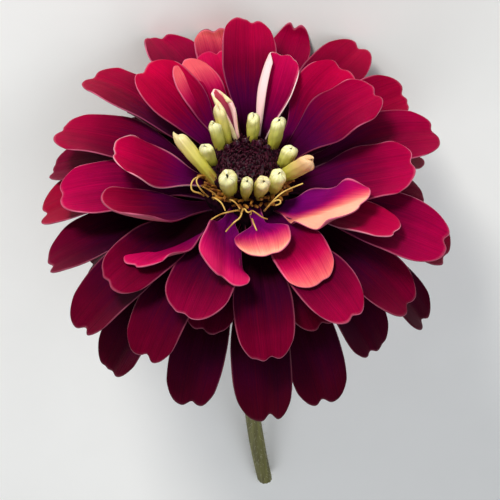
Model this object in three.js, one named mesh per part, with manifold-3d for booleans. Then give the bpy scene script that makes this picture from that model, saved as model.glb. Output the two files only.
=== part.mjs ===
// A cut zinnia, lying on its side as picked. Millimetres, +Z up.
//
// The flower is worked out in its own frame first: the origin is the middle of the disc's base,
// +Z runs out of the face, and an azimuth turns counter-clockwise from +X about that axis. The
// finished head is then laid down on the surface z = 0: it rests on the petals of its far side
// (azimuths near 90 degrees) and on the cut end of the stem, with its face towards -Y.
import * as THREE from 'three';
import { mergeVertices } from 'three/addons/utils/BufferGeometryUtils.js';
import Module from 'manifold-3d';

const wasm = await Module();
wasm.setup();

// ---- Driving dimensions ----
const HEAD_HEIGHT = 35.6; // middle of the disc's base above the surface
const STEM_REACH = 112; // from there to the cut end, along the flower's axis
const STEM_END_RADIUS = 1.65;
const STEM_NECK_RADIUS = 2.7;
const STEM_BEND = 6.4; // how far the cut end has bent aside
const CENTRE_SHIFT_X = -0.03; // brings the middle of the laid flower over the origin
const CENTRE_SHIFT_Y = -43.87;
const PETAL_THICKNESS = 0.7;
const SOFT_HEIGHT = 1.5; // petals lower than this start to give way to the surface
const SEAT_GAP = 0.3; // between one piece and the next

const DEGREE = Math.PI / 180;
const TILT = Math.asin((HEAD_HEIGHT - STEM_END_RADIUS) / STEM_REACH); // the axis above the surface

// The rows of petals, from the innermost to the outermost: the radius and height at which a row
// is rooted, its rise at the root, how far it bends over on its way out, and how far its sides
// are cupped at the root and at the tip. slide is the way its tips give on the surface, -1
// towards the face and 1 towards the stem.
const ROWS = {
  inner: { radius: 7.5, height: -4, lift: 44, bend: 38, cupRoot: 35, cupTip: 12, slide: -1 },
  second: { radius: 8, height: -6.5, lift: 24, bend: 40, cupRoot: 35, cupTip: 18, slide: -1 },
  third: { radius: 8, height: -9, lift: 8, bend: 45, cupRoot: 35, cupTip: 20, slide: 1 },
  outer: { radius: 7.5, height: -11.5, lift: -10, bend: 50, cupRoot: 30, cupTip: 15, slide: 1 },
};

// The petals that the face and the front show, one by one: azimuth, length, width and what is
// added to the row's rise, in degrees and millimetres, with what else it has of its own: a roll,
// a cup, a curl, another root height, lift or bend, a sweep of its tip aside, or a longer claw.
const INNER_PETALS = [
  { azimuth: 91, length: 28, width: 11.5, rise: 6 },
  { azimuth: 109, length: 22, width: 10, rise: 2 },
  { azimuth: 139, length: 25, width: 12, rise: 4, roll: -10 },
  { azimuth: 123, length: 20, width: 10, rise: 4 },
  { azimuth: 179, length: 22, width: 11.5, height: -7, lift: 11, bend: -32, roll: 4 },
  { azimuth: 209, length: 27.5, width: 12, height: -9, lift: 14, bend: -30, roll: 10, cupTip: 35 },
  { azimuth: 233, length: 25, width: 9.5, height: -9.5, lift: 12, bend: -2, roll: 28, sweep: -0.12 },
  { azimuth: 252, length: 21, width: 12.5, height: -6, lift: 26, bend: 28, roll: -42, sweep: 0.22 },
  { azimuth: 281, length: 15.2, width: 11.5, height: -4.5, lift: 20, bend: 16, clawEnd: 0.35 },
  { azimuth: 300, length: 23, width: 11.5, height: -7, lift: 22, bend: 30 },
  { azimuth: 322, length: 20.5, width: 13.5, height: -7.4, lift: 30, bend: -2, sweep: 0.25 },
  { azimuth: 0, length: 27.7, width: 14.8, height: -7, lift: 14, bend: -10 },
  { azimuth: 28, length: 25.5, width: 12.5, rise: 4 },
  { azimuth: 45, length: 24, width: 13, rise: 6 },
  { azimuth: 75, length: 21, width: 9, rise: 14, cupRoot: 120, cupTip: 60 },
  { azimuth: 335.5, length: 26.5, width: 10.5, height: -7.5, lift: 14, bend: 2, roll: -18 },
];
const SECOND_PETALS = [
  { azimuth: 20, length: 34, width: 13 },
  { azimuth: 34, length: 33, width: 12, rise: 2 },
  { azimuth: 57, length: 35, width: 12, rise: 4 },
  { azimuth: 76, length: 34, width: 9, rise: 4 },
  { azimuth: 102, length: 33, width: 11, rise: 4 },
  { azimuth: 118, length: 35, width: 12.5, rise: 4 },
  { azimuth: 143, length: 35, width: 11.5, rise: 3 },
  { azimuth: 163, length: 34, width: 13 },
  { azimuth: 187, length: 31, width: 12, height: -9, roll: -5 },
  { azimuth: 225, length: 30, width: 12, height: -9, lift: 20, bend: 34, roll: -5 },
  { azimuth: 253, length: 28, width: 14, height: -9, lift: 14, bend: 18 },
  { azimuth: 302, length: 32.3, width: 12.5, height: -9, lift: 14, bend: 18 },
  { azimuth: 342, length: 35.5, width: 14, height: -9, lift: 20, bend: 34 },
];
const THIRD_PETALS = [
  { azimuth: 166, length: 36, width: 12, rise: 4 },
  { azimuth: 179, length: 37, width: 13 },
  { azimuth: 198, length: 36, width: 12, height: -11 },
  { azimuth: 221.5, length: 38, width: 12, height: -10 },
  { azimuth: 241, length: 35, width: 12.5, height: -10 },
  { azimuth: 258, length: 25, width: 12, height: -10 },
  { azimuth: 278.5, length: 31, width: 12.5 },
  { azimuth: 299, length: 26, width: 12, height: -10 },
  { azimuth: 328, length: 34, width: 12.5, height: -10 },
  { azimuth: 353, length: 37, width: 13, height: -10 },
  { azimuth: 10, length: 32, width: 10, height: -10 },
];
const OUTER_PETALS = [
  { azimuth: 229, length: 40, width: 11.5, rise: 5 },
  { azimuth: 254.5, length: 39, width: 11.5 },
  { azimuth: 277, length: 41, width: 12.5 },
  { azimuth: 296, length: 40, width: 12 },
  { azimuth: 322.5, length: 36, width: 12, rise: -2 },
  { azimuth: 337, length: 40, width: 11, rise: 8 },
];
// The rest of the two lower rows, round the back: evenly spaced, a little shorter where the
// head lies on them.
const BACK_OF_THIRD = { from: 28, to: 148, count: 7, length: 32.5, width: 12.5 };
const BACK_OF_OUTER = { from: -5, to: 207, count: 12, length: 32.5, width: 12 };

// The young florets that stand round the disc like small cream tubes: azimuth, length, width
// and rise, and the radius that each is rooted at.
const TUBES = [
  { azimuth: 84, length: 6.4, width: 2.5, lift: 74, radius: 7.2 },
  { azimuth: 46, length: 7.5, width: 2.6, lift: 74, radius: 7.2 },
  { azimuth: 4, length: 5.4, width: 2.4, lift: 74, radius: 7.2 },
  { azimuth: 343, length: 10, width: 2.6, lift: 52, radius: 7.6 },
  { azimuth: 313, length: 6, width: 2.8, lift: 74, radius: 7.6 },
  { azimuth: 289, length: 7, width: 2.7, lift: 74, radius: 7.5 },
  { azimuth: 268, length: 7, width: 2.4, lift: 76, radius: 7.4 },
  { azimuth: 243, length: 7.4, width: 3, lift: 74, radius: 7.6 },
  { azimuth: 195, length: 13, width: 2.6, lift: 52, radius: 7.6, sway: -0.55 },
  { azimuth: 178, length: 6, width: 2.3, lift: 72, radius: 7.2 },
  { azimuth: 143, length: 7, width: 2.4, lift: 74, radius: 7.2 },
  { azimuth: 126, length: 9.5, width: 2.4, lift: 68, radius: 7.2 },
  { azimuth: 108, length: 12.5, width: 3.4, lift: 62, radius: 6.9, sway: 0.28 },
];
const TUBE_SINK = 1.6; // how far a tube's root runs down into the heart of the flower
const STYLES = { count: 9, from: 196, to: 344, length: 6, thickness: 0.62 };

const DISC_RADIUS = 5.5;
const DISC_RISE = 2;
const DISC_SCALES = 42;
// The rows of bracts from the foot up: where each row bulges and where its tips end.
const BRACT_ROWS = [
  { belly: 6.2, middle: -20.3, rim: 7.3, high: -18.3, scallop: 1.4 },
  { belly: 7.9, middle: -17.3, rim: 8.5, high: -15.8, scallop: 1.2 },
  { belly: 8.8, middle: -15.2, rim: 9, high: -13.85, scallop: 1.1 },
];
const BRACTS_A_ROW = 8;
const BRACT_THICKNESS = 0.8;
const INVOLUCRE_FOOT = -22.2;

// ---- Seeded draws ----
let seed = 20213;
function draw(low, high) {
  seed = (seed * 16807) % 2147483647;
  return low + (high - low) * (seed / 2147483647);
}

// ---- The laid pose ----
const laid = new THREE.Group();
laid.position.set(CENTRE_SHIFT_X, CENTRE_SHIFT_Y, HEAD_HEIGHT);
laid.rotation.z = Math.PI;
const upright = new THREE.Group();
upright.rotation.x = TILT - Math.PI / 2;
laid.add(upright);
upright.updateWorldMatrix(true, false);
const LAY_DOWN = upright.matrixWorld;

// A petal that comes down to the surface bends over in a short curve and lies along it.
function settle(point, slide) {
  const clear = point.z - PETAL_THICKNESS / 2;
  if (clear < SOFT_HEIGHT) {
    const lain = Math.max(clear + SOFT_HEIGHT, 0) ** 2 / (4 * SOFT_HEIGHT);
    const given = lain - clear;
    point.z += given;
    point.y += given * slide;
  }
  return point;
}

function lies(point) {
  return point.z < PETAL_THICKNESS / 2 + 1e-6;
}

// ---- Solids ----
function solid(geometry) {
  const positions = Float32Array.from(geometry.attributes.position.array);
  const triangles = Uint32Array.from(geometry.index.array);
  const mesh = new wasm.Mesh({ numProp: 3, vertProperties: positions, triVerts: triangles });
  mesh.merge();
  return new wasm.Manifold(mesh);
}

function geometryOf(body) {
  const mesh = body.getMesh();
  const geometry = new THREE.BufferGeometry();
  geometry.setAttribute('position', new THREE.BufferAttribute(mesh.vertProperties, 3));
  geometry.setIndex(new THREE.BufferAttribute(mesh.triVerts, 1));
  geometry.computeVertexNormals();
  return geometry;
}

function fuse(bodies) {
  return bodies.reduce((whole, body) => whole.add(body));
}

function indexed(points, triangles) {
  const geometry = new THREE.BufferGeometry();
  geometry.setFromPoints(points);
  geometry.setIndex(triangles);
  return geometry;
}

// A solid of revolution about the flower's axis, from a profile that starts and ends on it.
function turned(profile, segments) {
  const outline = profile.map(([radius, height]) => new THREE.Vector2(radius, height));
  return closed(new THREE.LatheGeometry(outline, segments).rotateX(Math.PI / 2));
}

// Merges a geometry's shared corners, and leaves out the triangles that this folds flat.
function closed(source) {
  source.deleteAttribute('normal');
  source.deleteAttribute('uv');
  const geometry = mergeVertices(source, 1e-4);
  const index = geometry.index.array;
  const kept = [];
  for (let i = 0; i < index.length; i += 3) {
    const [a, b, c] = [index[i], index[i + 1], index[i + 2]];
    if (a !== b && b !== c && c !== a) {
      kept.push(a, b, c);
    }
  }
  geometry.setIndex(kept);
  return geometry;
}

// A closed skin over rings of points, each end closed by a fan round its middle.
function lofted(rings) {
  const sides = rings[0].length;
  const points = rings.flat();
  const triangles = [];
  const at = (ring, side) => ring * sides + (side % sides);
  for (let ring = 0; ring < rings.length - 1; ring++) {
    for (let side = 0; side < sides; side++) {
      triangles.push(at(ring, side), at(ring, side + 1), at(ring + 1, side + 1));
      triangles.push(at(ring, side), at(ring + 1, side + 1), at(ring + 1, side));
    }
  }
  const first = points.length;
  points.push(middle(rings[0]), middle(rings[rings.length - 1]));
  for (let side = 0; side < sides; side++) {
    triangles.push(first, at(0, side + 1), at(0, side));
    triangles.push(first + 1, at(rings.length - 1, side), at(rings.length - 1, side + 1));
  }
  return indexed(points, triangles);
}

function middle(ring) {
  const sum = new THREE.Vector3();
  ring.forEach((point) => sum.add(point));
  return sum.divideScalar(ring.length);
}

// A thin closed blade on both sides of a grid of points, rows[j][i], split alike on both faces.
// Where the grid lies half a thickness above the surface, the blade lies flat on it.
function blade(rows, thickness) {
  const tall = rows.length - 1;
  const wide = rows[0].length - 1;
  const normals = gridNormals(rows);
  const points = [];
  for (const side of [0.5, -0.5]) {
    for (let j = 0; j <= tall; j++) {
      for (let i = 0; i <= wide; i++) {
        points.push(rows[j][i].clone().addScaledVector(normals[j][i], side * thickness));
      }
    }
  }
  const layer = (tall + 1) * (wide + 1);
  const at = (j, i) => j * (wide + 1) + i;
  const triangles = [];
  for (let j = 0; j < tall; j++) {
    for (let i = 0; i < wide; i++) {
      const corners = [at(j, i), at(j, i + 1), at(j + 1, i + 1), at(j + 1, i)];
      const [a, b, c, d] = corners;
      triangles.push(a, b, c, a, c, d);
      triangles.push(layer + a, layer + c, layer + b, layer + a, layer + d, layer + c);
    }
  }
  const rim = [];
  for (let i = 0; i < wide; i++) rim.push(at(0, i));
  for (let j = 0; j < tall; j++) rim.push(at(j, wide));
  for (let i = wide; i > 0; i--) rim.push(at(tall, i));
  for (let j = tall; j > 0; j--) rim.push(at(j, 0));
  rim.forEach((a, k) => {
    const b = rim[(k + 1) % rim.length];
    triangles.push(a, layer + a, layer + b, a, layer + b, b);
  });
  return indexed(points, triangles);
}

function gridNormals(rows) {
  const clampedPoint = (j, i) => {
    const row = rows[Math.min(Math.max(j, 0), rows.length - 1)];
    return row[Math.min(Math.max(i, 0), row.length - 1)];
  };
  return rows.map((row, j) =>
    row.map((_, i) => {
      const across = clampedPoint(j, i + 1).clone().sub(clampedPoint(j, i - 1));
      const along = clampedPoint(j + 1, i).clone().sub(clampedPoint(j - 1, i));
      const normal = across.cross(along);
      return lies(rows[j][i]) ? new THREE.Vector3(0, 0, Math.sign(normal.z)) : normal.normalize();
    }),
  );
}

// ---- Petals ----
const CLAW = 0.2; // width at the root, as a share of the full width
const WIDEST = 0.7; // where a petal reaches its full width, as a share of its length
const LYING_SIDE = 0.87; // petals with a larger sine of their azimuth lie on the surface
const TIP_NARROWING = 0.2;
const TIP_ROUNDING = 0.15;
const NOTCH_SPREAD = 0.16;

function widthShare(petal, along) {
  if (along < WIDEST) {
    return CLAW + (1 - CLAW) * THREE.MathUtils.smoothstep(along, petal.clawEnd, WIDEST);
  }
  return 1 - TIP_NARROWING * ((along - WIDEST) / (1 - WIDEST)) ** 2;
}

// One point of a petal: across runs from -1 to 1, along from the root, 0, to the tip, 1.
function petalPoint(petal, across, along) {
  const notch = petal.notch * Math.exp(-(((across - petal.notchAt) / NOTCH_SPREAD) ** 2));
  const cut = TIP_ROUNDING * Math.abs(across) ** 3.2 + notch;
  const share = along * (1 - along ** 3 * cut);
  const lift = petal.lift * DEGREE;
  const bend = petal.bend * DEGREE;
  const angle = lift - bend * share;
  const bow = petal.length / bend;
  const out = petal.radius + bow * (Math.sin(lift) - Math.sin(angle));
  const up = petal.height + bow * (Math.cos(angle) - Math.cos(lift));
  const roll = petal.roll * DEGREE;
  const cup = THREE.MathUtils.lerp(petal.cupRoot, petal.cupTip, share) * DEGREE;
  const half = (petal.width / 2) * widthShare(petal, along);
  const lateral = (half * Math.sin(cup * across)) / cup;
  const over = Math.max(share - 0.6, 0) / 0.4;
  const raised = (half * (1 - Math.cos(cup * across))) / cup - petal.curl * petal.length * over ** 2;
  const swing = petal.sweep * petal.length * share ** 2;
  const side = lateral * Math.cos(roll) - raised * Math.sin(roll) + swing;
  const normal = lateral * Math.sin(roll) + raised * Math.cos(roll);
  const point = new THREE.Vector3(
    out - normal * Math.sin(angle),
    side,
    up + normal * Math.cos(angle),
  );
  return point.applyAxisAngle(new THREE.Vector3(0, 0, 1), petal.azimuth * DEGREE);
}

function describePetal(row, entry) {
  const petal = { ...ROWS[row], rise: 0, roll: 6, curl: 0, sweep: 0, clawEnd: 0, ...entry };
  petal.lift += petal.rise;
  petal.notchAt = draw(-0.25, 0.25);
  petal.notch = draw(0.02, 0.05);
  return petal;
}

function backPetals(row, back) {
  const petals = [];
  for (let i = 0; i < back.count; i++) {
    const azimuth = back.from + ((back.to - back.from) * i) / (back.count - 1);
    petals.push(
      describePetal(row, {
        azimuth: azimuth + draw(-3, 3),
        length: back.length + draw(-1.5, 1.5),
        width: back.width + draw(-0.5, 0.5),
        rise: draw(-2, 4),
        hidden: true,
      }),
    );
  }
  return petals;
}

function allPetals() {
  return [
    ...INNER_PETALS.map((entry) => describePetal('inner', entry)),
    ...SECOND_PETALS.map((entry) => describePetal('second', entry)),
    ...THIRD_PETALS.map((entry) => describePetal('third', entry)),
    ...OUTER_PETALS.map((entry) => describePetal('outer', entry)),
    ...backPetals('third', BACK_OF_THIRD),
    ...backPetals('outer', BACK_OF_OUTER),
  ];
}

function petalBlade(petal) {
  const plain = petal.hidden && Math.sin(petal.azimuth * DEGREE) < LYING_SIDE;
  const wide = plain ? 2 : 4;
  const stations = plain ? [0, 0.45, 0.7, 0.87, 1] : [0, 0.26, 0.5, 0.72, 0.87, 1];
  const rows = [];
  for (let j = 0; j < stations.length; j++) {
    const row = [];
    for (let i = 0; i <= wide; i++) {
      const point = petalPoint(petal, (2 * i) / wide - 1, stations[j]);
      row.push(settle(point.applyMatrix4(LAY_DOWN), petal.slide));
    }
    rows.push(row);
  }
  return solid(blade(rows, PETAL_THICKNESS));
}

function petals() {
  const receptacle = turned(
    [[0, -13.5], [7, -13.5], [9.2, -11], [9.4, -6], [7.9, -2.9], [0, -2.9]],
    20,
  );
  const core = solid(receptacle.applyMatrix4(LAY_DOWN));
  return geometryOf(fuse([core, ...allPetals().map(petalBlade)]));
}

// ---- The heart: young florets and styles round the disc ----
function tubeRing(centre, direction, radius, sides) {
  const reference = Math.abs(direction.z) > 0.9 ? new THREE.Vector3(1, 0, 0) : new THREE.Vector3(0, 0, 1);
  const first = new THREE.Vector3().crossVectors(reference, direction).normalize();
  const second = new THREE.Vector3().crossVectors(direction, first);
  const ring = [];
  for (let side = 0; side < sides; side++) {
    const angle = (2 * Math.PI * side) / sides;
    ring.push(
      centre.clone()
        .addScaledVector(first, radius * Math.cos(angle))
        .addScaledVector(second, radius * Math.sin(angle)),
    );
  }
  return ring;
}

// A young floret still rolled up: slim at the root, swelling to a blunt cleft tip.
function youngFloret(tube) {
  const azimuth = tube.azimuth * DEGREE;
  const outward = new THREE.Vector3(Math.cos(azimuth), Math.sin(azimuth), 0);
  const sideways = new THREE.Vector3(-outward.y, outward.x, 0);
  const lift = tube.lift * DEGREE;
  const direction = outward.clone().multiplyScalar(Math.cos(lift));
  direction.addScaledVector(sideways, tube.sway ?? 0);
  direction.z = Math.sin(lift);
  direction.normalize();
  const root = outward.clone().multiplyScalar(tube.radius - TUBE_SINK * Math.cos(lift));
  root.z = -TUBE_SINK;
  const reach = tube.length + TUBE_SINK;
  const profile = [[0, 0.72], [0.4, 0.88], [0.88, 1], [1, 0.6]];
  const rings = profile.map(([share, width]) =>
    tubeRing(
      root.clone().addScaledVector(direction, reach * share),
      direction,
      (tube.width / 2) * width,
      6,
    ),
  );
  return solid(lofted(rings));
}

// A style: a thin golden thread that rises out of the heart, bends over and curls.
function styleThread(index) {
  const share = index / (STYLES.count - 1);
  const azimuth = THREE.MathUtils.lerp(STYLES.from, STYLES.to, share) * DEGREE + draw(-0.05, 0.05);
  const outward = new THREE.Vector3(Math.cos(azimuth), Math.sin(azimuth), 0);
  const sideways = new THREE.Vector3(-outward.y, outward.x, 0);
  const turn = draw(-1, 1);
  const reach = STYLES.length * draw(0.8, 1.1);
  const at = (out, aside, height) =>
    outward.clone().multiplyScalar(out).addScaledVector(sideways, aside * turn)
      .add(new THREE.Vector3(0, 0, height));
  const curve = new THREE.CatmullRomCurve3([
    at(7.4, 0, -1.4),
    at(8.6, 0.2, 1.2),
    at(8.6 + 0.35 * reach, 0.8, 2.9),
    at(8.6 + 0.6 * reach, 2, 3.4),
    at(8.6 + 0.45 * reach, 3, 4.4),
  ]);
  const steps = 6;
  const rings = [];
  for (let step = 0; step <= steps; step++) {
    const share = step / steps;
    rings.push(
      tubeRing(curve.getPointAt(share), curve.getTangentAt(share), STYLES.thickness / 2, 3),
    );
  }
  return solid(lofted(rings));
}

function heart() {
  const plate = solid(turned([[0, -2.6], [7, -2.6], [8.1, -1.4], [8.1, -0.3], [0, -0.3]], 18));
  const threads = [];
  for (let index = 0; index < STYLES.count; index++) {
    threads.push(styleThread(index));
  }
  return geometryOf(fuse([plate, ...TUBES.map(youngFloret), ...threads]));
}

// ---- The disc: a low dome covered in small pointed scales ----
function discScale(index) {
  const golden = Math.PI * (3 - Math.sqrt(5));
  const radius = (DISC_RADIUS - 0.7) * Math.sqrt((index + 0.5) / DISC_SCALES);
  const azimuth = index * golden;
  const height = DISC_RISE * (1 - (radius / DISC_RADIUS) ** 2) ** 0.5;
  const root = new THREE.Vector3(radius * Math.cos(azimuth), radius * Math.sin(azimuth), height - 0.5);
  const geometry = new THREE.ConeGeometry(0.72, draw(1.7, 2.2), 4);
  geometry.translate(0, geometry.parameters.height / 2, 0);
  geometry.applyQuaternion(
    new THREE.Quaternion().setFromUnitVectors(
      new THREE.Vector3(0, 1, 0),
      new THREE.Vector3(root.x * 0.06, root.y * 0.06, 1).normalize(),
    ),
  );
  geometry.translate(root.x, root.y, root.z);
  return solid(closed(geometry));
}

function disc() {
  const dome = [[0, 0], [DISC_RADIUS, 0]];
  for (let step = 1; step <= 5; step++) {
    const angle = (step * Math.PI) / 10;
    const radius = step === 5 ? 0 : DISC_RADIUS * Math.cos(angle);
    dome.push([radius, 0.4 + (DISC_RISE - 0.4) * Math.sin(angle)]);
  }
  const scales = [];
  for (let index = 0; index < DISC_SCALES; index++) {
    scales.push(discScale(index));
  }
  return geometryOf(fuse([solid(turned(dome, 20)), ...scales]));
}

// ---- The involucre: the green cup of overlapping bracts under the petals ----
// Each row of bracts stands proud of the row above it and ends in a scalloped edge, so the cup
// is one skin over rings of points that follow those edges up and never turn back down.
function involucre() {
  const columns = BRACTS_A_ROW * 6;
  const ringAt = (place) =>
    Array.from({ length: columns }, (_, column) => {
      const { radius, height } = place((column / columns) * BRACTS_A_ROW);
      const turn = ((2 * Math.PI) / columns) * column;
      return new THREE.Vector3(radius * Math.cos(turn), radius * Math.sin(turn), height);
    });
  const rings = [ringAt(() => ({ radius: STEM_NECK_RADIUS + 0.5, height: INVOLUCRE_FOOT }))];
  rings.push(ringAt(() => ({ radius: 4.4, height: -21.4 })));
  BRACT_ROWS.forEach((row, index) => {
    const domed = (turn) => Math.abs(Math.cos(Math.PI * (turn + index / 2)));
    const ridge = (turn) => BRACT_THICKNESS * 0.6 * domed(turn);
    const edge = (turn) => row.high - row.scallop * (1 - domed(turn) ** 0.7);
    const proud = BRACT_THICKNESS;
    rings.push(ringAt((turn) => ({ radius: row.belly + ridge(turn), height: row.middle })));
    rings.push(ringAt((turn) => ({ radius: row.rim + ridge(turn), height: edge(turn) - 0.1 })));
    rings.push(ringAt((turn) => ({ radius: row.rim - proud, height: edge(turn) })));
  });
  return geometryOf(solid(lofted(rings)));
}

// ---- The stem: ribbed, swollen under the head, with a plain cut end ----
const STEM_TOP = INVOLUCRE_FOOT - SEAT_GAP;
const STEM_SIDES = 12;
const STEM_STEPS = 22;

function stemMiddle(share) {
  const height = THREE.MathUtils.lerp(STEM_TOP, -STEM_REACH, share);
  return new THREE.Vector3(STEM_BEND * share ** 2.3, 0, height);
}

function stem() {
  const rings = [];
  for (let step = 0; step <= STEM_STEPS; step++) {
    const share = step / STEM_STEPS;
    const swelling = Math.exp(-share * 5.5);
    const radius = STEM_END_RADIUS + (STEM_NECK_RADIUS - STEM_END_RADIUS) * swelling;
    const ring = [];
    for (let side = 0; side < STEM_SIDES; side++) {
      const angle = (2 * Math.PI * side) / STEM_SIDES;
      const ribbed = radius * (side % 2 ? 0.93 : 1);
      const point = stemMiddle(share);
      ring.push(point.add(new THREE.Vector3(ribbed * Math.cos(angle), ribbed * Math.sin(angle), 0)));
    }
    rings.push(ring);
  }
  return geometryOf(solid(lofted(rings.reverse())));
}

// ---- The scene ----
function piece(name, geometry, colour, roughness) {
  const material = new THREE.MeshStandardMaterial({ color: colour, roughness, metalness: 0 });
  const mesh = new THREE.Mesh(geometry, material);
  mesh.name = name;
  return mesh;
}

const zinnia = new THREE.Group();
zinnia.add(piece('petals', petals(), 0x91023a, 0.6));
upright.add(piece('inner_florets', heart(), 0xe8e4a6, 0.55));
upright.add(piece('disc', disc(), 0x4b1630, 0.7));
upright.add(piece('involucre', involucre(), 0x5d6b3a, 0.7));
upright.add(piece('stem', stem(), 0x6b6a45, 0.7));
zinnia.add(laid);

export default zinnia;
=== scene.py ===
"""A cut zinnia lying on its side, dressed over its solids: petals, young florets, disc, bracts and stem.

The flower is worked out upright in its own frame, in millimetres: the origin is the middle of the
disc's base, +Z runs out of the face and azimuths turn counter-clockwise from +X. lay_down() then
brings every point to where the flower lies, and settle() bends what meets the surface.
"""

from math import asin, cos, degrees, pi, radians, sin, sqrt

import bpy
import numpy as np
from mathutils import Matrix, Vector


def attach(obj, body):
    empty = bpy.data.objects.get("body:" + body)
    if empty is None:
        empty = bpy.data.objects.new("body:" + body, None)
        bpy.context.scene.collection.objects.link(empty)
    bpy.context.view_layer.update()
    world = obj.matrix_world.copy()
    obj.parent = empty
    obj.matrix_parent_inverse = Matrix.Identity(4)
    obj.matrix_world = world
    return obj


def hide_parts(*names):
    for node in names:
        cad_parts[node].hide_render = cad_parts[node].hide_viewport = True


MM = 0.001

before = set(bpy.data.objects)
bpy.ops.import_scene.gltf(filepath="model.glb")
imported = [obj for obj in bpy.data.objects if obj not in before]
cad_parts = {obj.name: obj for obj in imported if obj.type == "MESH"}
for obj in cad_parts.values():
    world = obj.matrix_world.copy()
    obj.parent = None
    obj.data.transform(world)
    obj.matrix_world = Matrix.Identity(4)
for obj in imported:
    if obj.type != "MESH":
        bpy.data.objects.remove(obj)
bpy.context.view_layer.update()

# ---- The laid pose, as on the solids, in millimetres ----
HEAD_HEIGHT = 35.6
STEM_REACH = 112.0
STEM_END_RADIUS = 1.65
STEM_NECK_RADIUS = 2.7
STEM_BEND = 6.4
CENTRE_SHIFT = (-0.03, -43.87)
SOFT_HEIGHT = 1.5  # how far over the surface a petal begins to bend along it
TILT = asin((HEAD_HEIGHT - STEM_END_RADIUS) / STEM_REACH)


def ray(azimuth, length, width, **rest):
    """A table's entry for a petal or a young floret: where it stands, how long and wide it is."""
    return dict(azimuth=azimuth, length=length, width=width, **rest)


# ---- The petals, row by row ----
# A petal starts at a radius and height at an angle of lift, bends down by bend degrees over its
# length, and is cupped across it. slide is the way it slips where it lies on the surface. depth
# is how far the row has ripened and darkened, from 0 to 1: the outer petals are the oldest. Part
# of that darkening is painted shade, for the shade that the rows over them cast.
ROWS = {
    "inner": dict(radius=7.5, height=-4, lift=44, bend=38, cup_root=35, cup_tip=12, slide=-1, depth=0),
    "second": dict(radius=8, height=-6.5, lift=24, bend=40, cup_root=35, cup_tip=18, slide=-1, depth=0.25),
    "third": dict(radius=8, height=-9, lift=8, bend=45, cup_root=35, cup_tip=20, slide=1, depth=0.6),
    "outer": dict(radius=7.5, height=-11.5, lift=-10, bend=50, cup_root=30, cup_tip=15, slide=1, depth=1),
}

# In these tables the painted shade darkens petals that lie in the shadow of others, and lightens them where
# it is below 0; the warm light is painted warm light that turns a tip coral.
INNER_PETALS = [
    ray(91, 28, 11.5, rise=6, darker=0.2),
    ray(109, 22, 10, rise=2, warm=0.3),
    ray(139, 25, 12, rise=4, roll=-10),
    ray(123, 21.5, 10, rise=8, warm=0.65),
    ray(179, 22, 11.5, height=-6.4, lift=11, bend=-32, roll=-3, ruffle=0.8, pale=0.5),
    ray(209, 27.5, 13, height=-9, lift=14, bend=-30, roll=10, cup_tip=35, darker=0.25),
    ray(231.5, 25, 11, height=-9.5, lift=12, bend=-2, roll=28, sweep=-0.12, ruffle=0.7, magenta=1.1,
        warm=0.3),
    ray(252, 21, 12.5, height=-6, lift=26, bend=28, roll=-42, sweep=0.22, claw_end=0.25, ruffle=1.5,
        magenta=1.25, warm=0.35),
    ray(281, 15.2, 11.5, height=-4.5, lift=20, bend=16, claw_end=0.4, warm=1.0, warm_late=0.22,
        magenta=1.4),
    ray(300, 23, 11.5, height=-7, lift=22, bend=30, warm=0.9, warm_late=0.5, magenta=0.5),
    ray(322, 20.5, 13.5, height=-7.4, lift=30, bend=-2, sweep=0.25, ruffle=1.1, warm=1.0,
        warm_side=-1.3, warm_late=-0.15, magenta=1.4),
    ray(0, 27.7, 14.8, height=-7, lift=14, bend=-10, darker=0.15),
    ray(28, 25.5, 12.5, rise=4, ruffle=0.6, darker=0.15),
    ray(45, 24, 13, rise=4.5, claw_end=0.25),
    ray(75, 21, 11, rise=14, cup_root=100, cup_tip=30, fold=120, pale=0.95),
    ray(335.5, 26.5, 10.5, height=-7.5, lift=14, bend=2, roll=-18, pale=0.4),
]
SECOND_PETALS = [
    ray(20, 34, 13, claw_end=0.25),
    ray(36.5, 33, 12, rise=2, roll=14),
    ray(57, 35, 12, rise=4),
    ray(76, 34, 9, rise=4),
    ray(102, 33, 11, rise=4, warm=0.7),
    ray(118, 35, 12.5, rise=4),
    ray(143, 35, 11.5, rise=3),
    ray(163, 34, 13, height=-7.9),
    ray(187, 31, 13, height=-9, roll=-5, claw_end=0.2, darker=-0.15),
    ray(225, 30, 12, height=-9, lift=20, bend=34, roll=-5, darker=0.35),
    ray(253, 28, 14, height=-9, lift=14, bend=18, darker=0.2),
    ray(302, 32.3, 12.5, height=-9, lift=14, bend=18, darker=0.1),
    ray(342, 35.5, 14, height=-9, lift=20, bend=34),
]
THIRD_PETALS = [
    ray(166, 36, 12, rise=4),
    ray(180, 37, 13, darker=-0.35),
    ray(196.5, 36, 13.5, height=-11, claw_end=-0.4, darker=0.1),
    ray(220, 38, 13, height=-10, darker=0.2),
    ray(241, 35, 12.5, height=-10, darker=0.15),
    ray(256, 25, 12, height=-10, darker=0.3),
    ray(278.5, 31, 12.5),
    ray(299, 26, 12, height=-10, darker=0.3),
    ray(328, 34, 12.5, height=-10),
    ray(353, 37, 13, height=-10),
    ray(10, 32, 10, height=-10),
]
OUTER_PETALS = [
    ray(229, 40, 11.5, rise=5),
    ray(254.5, 39, 11.5),
    ray(277, 41, 12.5),
    ray(296, 40, 12),
    ray(322.5, 36, 12, rise=-2),
    ray(337, 40, 11, rise=8),
]
RECEPTACLE = [(0.01, -13.5), (7.0, -13.4), (8.7, -11), (8.9, -6), (7.6, -3.1), (0.01, -2.9)]
# The petals that the head hides in the photograph, spread from one azimuth to another.
BACK_OF_THIRD = dict(start=28, stop=148, count=7, length=32.5, width=12.5)
BACK_OF_OUTER = dict(start=-5, stop=207, count=12, length=32.5, width=12)
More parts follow.
